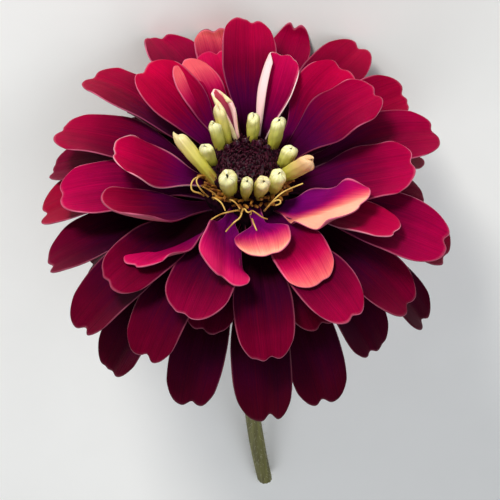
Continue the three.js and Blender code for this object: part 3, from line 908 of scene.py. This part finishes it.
def ramp(place, *stops):
    """The colour at a place on a ramp that runs through stops of (place, colour)."""
    node = add("ValToRGB")
    feed(node.inputs[0], place)
    elements = node.color_ramp.elements
    elements.remove(elements[1])
    elements[0].position = stops[0][0]
    elements[0].color = linear(stops[0][1])
    for position, colour in stops[1:]:
        elements.new(position).color = linear(colour)
    return node.outputs[0]


def marked(name):
    """What set_tone or set_warm_light_flush has marked the vertices with."""
    attribute = add("Attribute")
    attribute.attribute_name = name
    return attribute.outputs


def tones():
    tone = marked("tone")
    split = add("SeparateColor", Color=tone["Color"]).outputs
    return split["Red"], split["Green"], split["Blue"], tone["Alpha"]


def blade_uv():
    uv = add("UVMap")
    uv.uv_map = "UVMap"
    split = add("SeparateXYZ", Vector=uv.outputs["UV"]).outputs
    return split["X"], split["Y"]


def blade_places():
    """How far out from the midrib a point is, 0 to 1, and how far along its blade."""
    across, along = blade_uv()
    return calculate("ABSOLUTE", times(minus(across, 0.5), 2)), along


def vein_masks(veins, count=26, wander=1.5):
    node = add("Group")
    node.node_tree = veins
    feed_all(node, dict(Count=count, Wander=wander))
    return node.outputs["Lines"], node.outputs["Patches"]


def bumped(height, strength, distance):
    """The normal that a height bends, by a distance in millimetres."""
    return add("Bump", Strength=strength, Distance=distance * MM, Height=height).outputs["Normal"]


def veins_group():
    """Fine lines along a blade's own length, and patches over it, as masks from 0 to 1."""
    group = bpy.data.node_groups.new("long_veins", "ShaderNodeTree")
    for way, names in (("INPUT", ("Count", "Wander")), ("OUTPUT", ("Lines", "Patches"))):
        for name in names:
            group.interface.new_socket(name, in_out=way, socket_type="NodeSocketFloat")
    open_tree(group)
    given = group.nodes.new("NodeGroupInput").outputs
    across, along = blade_uv()
    stretched = add("CombineXYZ", X=times(across, given["Count"]), Y=along).outputs[0]
    lines = add("TexNoise", Vector=stretched, Scale=1, Detail=3, Distortion=given["Wander"])
    patches = add("TexNoise", Vector=add("TexCoord").outputs["Object"], Scale=PATCH_SCALE, Detail=4)
    masks = dict(Lines=lines.outputs["Fac"], Patches=patches.outputs["Fac"])
    feed_all(group.nodes.new("NodeGroupOutput"), masks)
    return group


# ---- Materials ----
# near-black: the petals' dark roots, with painted shade over them
SHADED_ROOT = (30, 1, 26)
PURPLE = (78, 1, 62)
CRIMSON_BODY = (116, 0, 38)
CRIMSON_TIP = (176, 1, 50)
MAGENTA_BODY = (114, 0, 58)
MAGENTA_TIP = (178, 2, 76)
# the maroon of the oldest petals, partly painted shade on the rows that others shade
SHADED_MAROON = (46, 0, 18)
VIOLET = (122, 8, 116)
# painted warm light: the coral and peach it turns some petals' tips
CORAL_LIT = (252, 142, 122)
PEACH_LIT = (254, 172, 146)
# painted warm light too, leading from magenta into the coral
HOT_PINK_LIT = (222, 22, 96)
ROSE_LIT = (240, 96, 108)
PALE_PINK = (240, 130, 160)

PATCH_SCALE = 160.0
NOISE_SPAN = (0.3, 0.7)  # most values of a noise lie within it
MOTTLE_SPAN = (0.35, 0.65)  # narrower, for a stronger contrast
WHOLE = (0, 1)
STREAK_SWAY = (-0.08, 0.08)  # how far the streaks carry a petal's colours along it
ROOT_SHADE_HOLD = 0.4  # how much farther the root's dark colours reach on the ripest petals, as painted shade
# how far the deepest rows turn maroon, partly as painted shade
SHADED_MAROON_SHARE = 0.62
SIDE_WARM_LIGHT = 0.35  # how far a flush of 1 carries the painted warm light towards the root

# Plain tissues: the lighter and the darker colour, the roughness and the scale of the mottling.
TISSUES = {
    "heart_tissue": ((40, 10, 26), (12, 3, 10), 0.8, 900),
    "floret_throat": ((206, 184, 96), (150, 116, 48), 0.6, 900),
    "young_ray_back": ((240, 226, 170), (222, 180, 140), 0.55, 500),
    "young_ray_margin": ((250, 214, 206), (240, 180, 176), 0.55, 500),
    "style_gold": ((222, 186, 98), (160, 110, 44), 0.5, 300),
    "style_root": ((188, 130, 48), (96, 46, 18), 0.6, 700),
    "disc_chaff": ((74, 14, 38), (16, 2, 14), 0.5, 1500),
    "disc_bud": ((64, 14, 40), (30, 4, 20), 0.25, 900),
    "involucre_green": ((124, 138, 76), (94, 110, 52), 0.6, 400),
    "stem_green": ((124, 122, 68), (92, 88, 50), 0.6, 900),
    "stem_cut": ((190, 200, 140), (150, 160, 96), 0.6, 900),
    "stem_hair": ((214, 214, 190), (180, 176, 140), 0.5, 900),
    "pale_floor": ((243.45, 243.45, 241.05), (239.83, 239.83, 237.39), 0.8, 30),
}


def petal_face(veins):
    """Velvet, purple at the root under painted shade, then crimson or magenta, and coral where warm light
    is painted on some petals.
    """
    material = new_material("petal_velvet")
    out, along = blade_places()
    magenta, depth, warm, pale = tones()
    streaks, patches = vein_masks(veins, count=44, wander=0.9)
    # The root's colours reach out along the streaks, farther on the deeper rows as painted shade, and less
    # unevenly where the painted warm light falls.
    evened = carried(warm, WHOLE, (1, 0.35))
    sway = times(carried(streaks, NOISE_SPAN, STREAK_SWAY), evened)
    reach = plus(minus(along, times(depth, ROOT_SHADE_HOLD)), sway)
    crimson = ramp(reach, (0.08, SHADED_ROOT), (0.3, PURPLE), (0.52, CRIMSON_BODY), (0.95, CRIMSON_TIP))
    pinker = ramp(reach, (0.08, SHADED_ROOT), (0.32, PURPLE), (0.56, MAGENTA_BODY), (0.95, MAGENTA_TIP))
    colour = mixed(times(magenta, 0.7), crimson, pinker)
    # Ripe petals are maroon, partly as painted shade, and those whose magenta is over 1 have a violet cast
    # at the root.
    colour = mixed(times(depth, SHADED_MAROON_SHARE), colour, SHADED_MAROON)
    near_root = carried(along, (0.45, 0.9), (1, 0.15))
    violet = times(carried(magenta, (1, 1.4), (0, 0.5)), near_root)
    colour = mixed(violet, colour, VIOLET)
    # Painted warm light comes in towards the tip, turning it coral and peach.
    warm_light_reach = plus(reach, times(marked("warm_light_flush")["Fac"], SIDE_WARM_LIGHT))
    warmth = times(carried(warm_light_reach, (0.45, 0.88)), warm)
    warm_stops = [(0, MAGENTA_BODY), (0.3, HOT_PINK_LIT), (0.6, ROSE_LIT), (0.86, CORAL_LIT), (1, PEACH_LIT)]
    colour = mixed(warmth, colour, ramp(warmth, *warm_stops))
    # Mottled, and darker on ripe petals, partly as painted shade, with painted shade deepest round the
    # roots of the deeper rows.
    streak = carried(streaks, NOISE_SPAN, (0.92, 1.05))
    patch = carried(patches, NOISE_SPAN, (0.84, 1.1))
    ripe_and_shaded = carried(depth, WHOLE, (1, 0.55))
    root_shade = carried(depth, (0, 0.6), (1, 0.25))
    opened = times(minus(1, root_shade), carried(along, (0.42, 0.84)))
    colour = scaled(colour, times(streak, patch, ripe_and_shaded, plus(root_shade, opened)))
    # A thin pale margin in patches, wider on pale petals and under painted warm light, fainter on ripe
    # ones, partly as painted shade.
    wider = plus(plus(out, times(pale, 0.1)), times(warm, 0.03))
    side, tip = carried(wider, (0.955, 1.02)), carried(along, (0.978, 1))
    faded = plus(carried(depth, WHOLE, (0.6, 0.15)), times(warm, 0.3))
    edge = calculate("MAXIMUM", side, tip)
    edge = times(edge, faded, carried(patches, MOTTLE_SPAN))
    return finished(
        material,
        Base_Color=mixed(edge, colour, PALE_PINK),
        Roughness=0.6,
        Specular_IOR_Level=0.13,
        Specular_Tint=(255, 70, 120),
        Sheen_Weight=0.05,
        Sheen_Roughness=0.3,
        Sheen_Tint=(255, 60, 120),
        Subsurface_Weight=0.1,
        Subsurface_Radius=(1, 0.05, 0.15),
        Subsurface_Scale=0.8 * MM,
        Normal=bumped(streaks, strength=0.45, distance=0.22),
    )


def petal_back(veins):
    """The veined underside, from green at the root to rose, blanched on pale petals."""
    material = new_material("petal_reverse")
    along = blade_places()[1]
    depth, _, pale = tones()[1:]
    stops = [(0, (166, 168, 100)), (0.16, (196, 120, 118)), (0.5, (190, 62, 98)), (1, (164, 26, 70))]
    lines = vein_masks(veins, count=26, wander=0.5)[0]
    streak = carried(lines, MOTTLE_SPAN, (0.66, 1.2))
    shaded = scaled(ramp(along, *stops), times(streak, carried(depth, WHOLE, (1, 0.6))))
    return finished(
        material,
        Base_Color=mixed(pale, shaded, (246, 206, 206)),
        Roughness=0.66,
        Specular_IOR_Level=0.22,
        Normal=bumped(lines, strength=0.8, distance=0.4),
    )


def petal_rim(veins):
    """The margin: pink and worn on young petals, darker towards the root and dark on ripe ones, partly as
    painted shade, blanched on pale ones.
    """
    material = new_material("petal_margin")
    depth, _, pale = tones()[1:]
    along = blade_places()[1]
    stops = [(0.1, (48, 3, 40)), (0.5, (140, 26, 82)), (0.95, (226, 104, 140))]
    worn = carried(vein_masks(veins)[1], (0.42, 0.6), (0, 0.75))
    aged = mixed(depth, ramp(along, *stops), (70, 6, 30))
    aged = mixed(worn, aged, (110, 4, 44))
    blanched = mixed(carried(pale, (0.3, 1)), aged, (250, 216, 216))
    return finished(material, Base_Color=blanched, Roughness=0.6)


def young_floret_skin(veins):
    """Cream, brown at the foot, with greener streaks, brownish spots and a blush on some."""
    material = new_material("young_floret_skin")
    along = blade_places()[1]
    blush = tones()[2]
    stops = [(0, (96, 40, 20)), (0.14, (146, 104, 34)), (0.34, (192, 184, 64))]
    stops += [(0.7, (222, 216, 122)), (1, (248, 242, 200))]
    lines, patches = vein_masks(veins, count=18, wander=0.4)
    greener = times(carried(lines, MOTTLE_SPAN), 0.5)
    colour = mixed(greener, ramp(along, *stops), (176, 180, 72))
    spots = carried(patches, (0.52, 0.66), (0, 0.4))
    colour = mixed(spots, colour, (170, 140, 58))
    pink = times(carried(along, (0.3, 0.8)), blush, 0.6)
    return finished(
        material,
        Base_Color=mixed(pink, colour, (226, 150, 116)),
        Roughness=0.5,
        Specular_IOR_Level=0.35,
        Subsurface_Weight=0.2,
        Subsurface_Radius=(1, 0.8, 0.35),
        Subsurface_Scale=0.8 * MM,
        Normal=bumped(lines, strength=0.6, distance=0.3),
    )


def young_ray_face():
    """The inside of the half-open ray: maroon, with the pale band of its margins."""
    material = new_material("young_ray_face")
    out, along = blade_places()
    stops = [(0, (70, 4, 40)), (0.6, (126, 8, 56)), (1, (206, 60, 84))]
    band = carried(out, (0.6, 0.8))
    colour = mixed(band, ramp(along, *stops), (250, 206, 200))
    return finished(material, Base_Color=colour, Roughness=0.6)


def bract_skin(veins):
    """Green, paler towards the foot, with the thin dark margin that zinnia bracts have."""
    material = new_material("bract_skin")
    out, along = blade_places()
    own = tones()[0]
    stops = [(0, (132, 146, 84)), (0.5, (96, 118, 52)), (0.9, (78, 98, 44))]
    lines, patches = vein_masks(veins, count=20, wander=0.4)
    shade = plus(carried(lines, NOISE_SPAN, (0.7, 1)), times(own, 0.2))
    shaded = scaled(ramp(along, *stops), shade)
    sides = times(out, carried(along, (0.2, 0.6)))
    nearest = plus(calculate("MAXIMUM", sides, along), times(patches, 0.1))
    edge = carried(nearest, (0.86, 0.94))
    return finished(
        material,
        Base_Color=mixed(edge, shaded, (58, 24, 20)),
        Roughness=0.6,
        Specular_IOR_Level=0.3,
        Normal=bumped(lines, strength=0.6, distance=0.3),
    )


def tissue(name, bump=0.3, specular=0.3, drawn=1):
    """A plain tissue of the table above; drawn stretches its mottling out along the stem."""
    light, dark, roughness, scale = TISSUES[name]
    material = new_material(name)
    place = add("TexCoord").outputs["Object"]
    turned = add("Mapping", Vector=place, Rotation=(-TILT, 0, 0), Scale=(1, drawn, 1))
    turned.vector_type = "TEXTURE"
    noise = add("TexNoise", Vector=turned.outputs["Vector"], Scale=scale, Detail=5).outputs["Fac"]
    return finished(
        material,
        Base_Color=mixed(carried(noise, MOTTLE_SPAN), dark, light),
        Roughness=roughness,
        Specular_IOR_Level=specular,
        Normal=bumped(noise, strength=bump, distance=0.2),
    )


# ---- Stage ----
LIT_PLACE = (0, -0.045, 0.035)  # the middle of the head, in metres


def photo_axes():
    """The camera's right, up and backward directions in the flower's frame, aimed at the head."""
    elevation, lean = radians(VIEW_ELEVATION), radians(VIEW_LEAN)
    back = Vector((0, -cos(elevation), sin(elevation)))
    level, rise = Vector((1, 0, 0)), Vector((0, sin(elevation), cos(elevation)))
    right = level * cos(lean) - rise * sin(lean)
    up = level * sin(lean) + rise * cos(lean)
    return right, up, back


def photo_ray(px, py):
    right, up, back = photo_axes()
    focal = PHOTO_PX_PER_MM * VIEW_DISTANCE
    across, down = (px - PHOTO_HEAD_PX[0]) / focal, (py - PHOTO_HEAD_PX[1]) / focal
    return (right * across - up * down - back).normalized()


def seen_at(px, py, height):
    """The point of the flower's frame that the photograph shows at a pixel, at a known height."""
    eye = photo_axes()[2] * VIEW_DISTANCE
    sight = photo_ray(px, py)
    return eye + sight * ((height - eye.z) / sight.z)


def make_camera():
    aim = photo_ray(*PHOTO_AIM_PX)
    up, back = photo_axes()[1:]
    world = Matrix(LAY_DOWN.tolist())
    turn = world.to_3x3()
    data = bpy.data.cameras.new("camera")
    camera = add_to_scene(bpy.data.objects.new("camera", data))
    data.sensor_width = 36
    data.lens = PHOTO_PX_PER_MM * VIEW_DISTANCE * CLOSE_UP / FRAME_PX * data.sensor_width
    data.clip_start, data.clip_end = 0.01, 20
    forward = (turn @ aim).normalized()
    right = forward.cross(turn @ up).normalized()
    true_up = right.cross(forward)
    axes = Matrix((right, true_up, -forward)).transposed()
    place = (world @ (back * VIEW_DISTANCE)) * MM
    camera.matrix_world = Matrix.Translation(place) @ axes.to_4x4()
    bpy.context.scene.camera = camera


def area_light(name, place, size, power, colour):
    data = bpy.data.lights.new(name, "AREA")
    data.shape = "DISK"
    data.size = size
    data.energy = power
    data.color = colour
    light = add_to_scene(bpy.data.objects.new(name, data))
    light.location = place
    light.rotation_euler = (Vector(LIT_PLACE) - Vector(place)).to_track_quat("-Z", "Y").to_euler()


def make_lights():
    area_light("key", (0.38, -1.1, 0.48), 0.32, 14, (1, 0.97, 0.92))
    area_light("fill", (-0.4, -0.3, 1), 0.9, 3.4, (0.92, 0.96, 1))
    area_light("back", (0.5, 1, 0.8), 0.9, 5, (0.96, 0.98, 1))
    world = bpy.data.worlds.new("studio")
    bpy.context.scene.world = world
    world.use_nodes = True
    background = world.node_tree.nodes["Background"]
    background.inputs["Color"].default_value = (0.92, 0.95, 1, 1)
    background.inputs["Strength"].default_value = 0.3


def make_floor():
    select()
    bpy.ops.mesh.primitive_plane_add(size=8)
    floor = bpy.context.object
    floor.name = "floor"
    floor.data.materials.append(tissue("pale_floor", bump=0.05))


def main():
    veins = veins_group()
    make_petals(petal_face(veins), petal_back(veins), petal_rim(veins))
    dark_heart = tissue("heart_tissue", specular=0.05)
    make_turned("receptacle", RECEPTACLE, 32, ["petals"], "petal", dark_heart)
    make_turned("floret_base", FLORET_BASE, 40, ["inner_florets"], "young_floret", dark_heart)
    tube_skin = young_floret_skin(veins)
    make_young_florets(tissue("floret_throat"), tube_skin)
    make_half_open_ray(young_ray_face(), tissue("young_ray_back"), tissue("young_ray_margin"))
    make_styles(tissue("style_gold"))
    make_style_roots(tissue("style_root"))
    chaff = tissue("disc_chaff")
    make_disc_scales(chaff)
    make_disc_dome(chaff)
    make_disc_buds(tissue("disc_bud"))
    make_bracts(bract_skin(veins))
    make_turned("involucre_cup", CUP, 32, ["involucre"], "bract", tissue("involucre_green"))
    make_stem(tissue("stem_green", drawn=12), tissue("stem_cut"))
    make_stem_hairs(tissue("stem_hair"))
    make_floor()
    make_lights()
    make_camera()
    bpy.context.scene.view_settings.view_transform = "Standard"


main()
